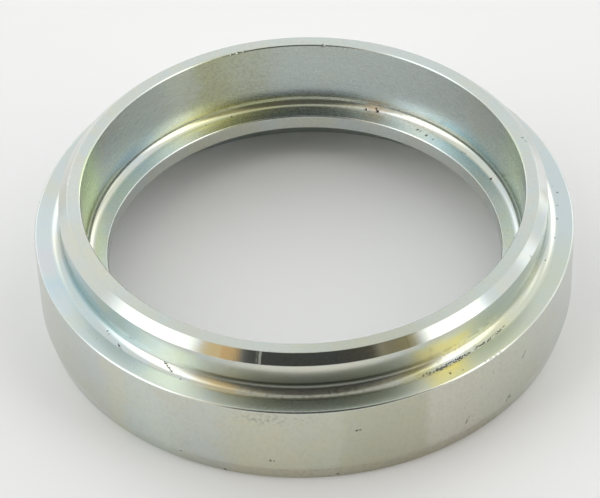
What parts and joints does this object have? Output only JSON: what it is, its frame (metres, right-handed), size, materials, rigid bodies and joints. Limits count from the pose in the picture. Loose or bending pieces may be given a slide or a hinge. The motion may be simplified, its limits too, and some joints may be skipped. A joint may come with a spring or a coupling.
{
  "type": "shaft collar",
  "caption": "One-piece stepped steel collar ring with a chamfered neck, a wide flange, a stepped seat bore with an inner lip, and a recessed underside.",
  "frame": {"origin": "on the ring's axis, at the level of the skirt's foot, so the ring stands on Z = 0", "axes": "+Z along the ring's axis, from the skirt's foot towards the neck; X and Y are equivalent, because the ring is a body of revolution"},
  "size_m": [0.11, 0.11, 0.028],
  "materials": {
    "zinc_plated_steel": "turned steel, bright zinc plated, with a thin yellow, green and blue iridescent passivate"
  },
  "bodies": {
    "root": {"collar": "zinc_plated_steel"}
  },
  "joints": []
}
